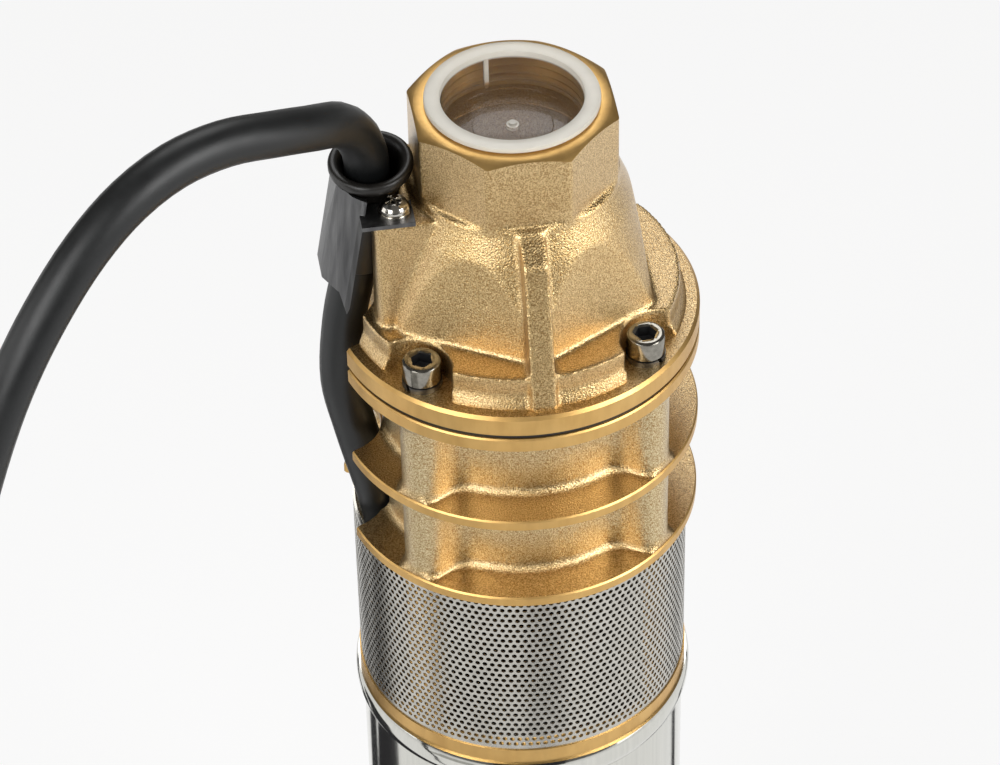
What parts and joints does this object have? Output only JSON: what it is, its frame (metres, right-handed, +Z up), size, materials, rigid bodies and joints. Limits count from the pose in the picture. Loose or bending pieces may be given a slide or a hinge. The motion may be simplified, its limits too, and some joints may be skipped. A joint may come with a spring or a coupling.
{
  "type": "borehole submersible pump",
  "caption": "Slim borehole pump with a brass pump end and outlet, a perforated suction screen, a steel motor tube and its cable.",
  "frame": {"origin": "centre of the base's underside, on the pump axis", "axes": "+Z up along the pump axis to the outlet; -Y is the side with the casting's rib; -X is the cable's side"},
  "size_m": [0.2196, 0.2721, 0.4829],
  "materials": {
    "cast_brass": "sand-cast, satin",
    "turned_brass": "turned, satin",
    "stainless": "brushed",
    "bright_steel": "polished",
    "dark_steel": "dark, oiled",
    "black_rubber": "matte black",
    "cap_plastic": "translucent, smooth",
    "copper_winding": "varnished",
    "ceramic": "lapped",
    "aluminium": "die-cast, satin",
    "core_insulation": "matte"
  },
  "bodies": {
    "housing": {"outlet_casting": "cast_brass", "outlet_gasket": "black_rubber", "upper_casing": "cast_brass", "lower_casing": "cast_brass", "casing_o_ring": "black_rubber", "flange_screws": "stainless", "spring_washers": "stainless", "cable_clamp": "stainless", "clamp_screws": "bright_steel", "clamp_washers": "bright_steel", "cable_sleeve": "black_rubber", "suction_screen": "stainless", "motor_bracket": "turned_brass", "bracket_o_ring": "black_rubber", "gland_nut": "turned_brass", "gland_grommet": "black_rubber", "motor_casing": "bright_steel", "stator_core": "dark_steel", "stator_windings": "copper_winding", "lower_bracket": "aluminium", "bottom_cover": "stainless", "cover_o_ring": "black_rubber", "cover_screws": "stainless", "oil_plug": "turned_brass", "upper_bearing_outer": "bright_steel", "lower_bearing_outer": "bright_steel", "seal_seat": "ceramic", "lip_seal": "black_rubber", "cable": "black_rubber", "cable_coil": "black_rubber", "cable_tail": "black_rubber", "cable_tie": "black_rubber", "cable_cores": "core_insulation", "core_ferrules": "bright_steel"},
    "rotor": {"shaft": "bright_steel", "impeller": "turned_brass", "impeller_key": "dark_steel", "impeller_nut": "stainless", "rotor_core": "dark_steel", "rotor_end_rings": "aluminium", "seal_head": "dark_steel", "seal_spring": "stainless", "seal_circlip": "dark_steel", "upper_bearing_inner": "bright_steel", "lower_bearing_inner": "bright_steel"},
    "cap": {"thread_cap": "cap_plastic"},
    "upper_cage": {"upper_bearing_balls": "bright_steel"},
    "lower_cage": {"lower_bearing_balls": "bright_steel"}
  },
  "joints": [
    {"name": "rotor_spin", "type": "hinge", "parent": "housing", "child": "rotor", "pos_m": [0, 0, 0.2], "axis": [0, 0, 1], "continuous": true},
    {"name": "cap_pull", "type": "slide", "parent": "housing", "child": "cap", "axis": [0, 0, 1], "range_m": [0, 0.12]},
    {"name": "upper_balls_spin", "type": "hinge", "parent": "housing", "child": "upper_cage", "pos_m": [0, 0, 0.252], "axis": [0, 0, 1], "continuous": true},
    {"name": "lower_balls_spin", "type": "hinge", "parent": "housing", "child": "lower_cage", "pos_m": [0, 0, 0.0335], "axis": [0, 0, 1], "continuous": true}
  ],
  "couplings": [
    {"joint": "upper_balls_spin", "follows": "rotor_spin", "ratio": 0.3873},
    {"joint": "lower_balls_spin", "follows": "rotor_spin", "ratio": 0.3831}
  ]
}
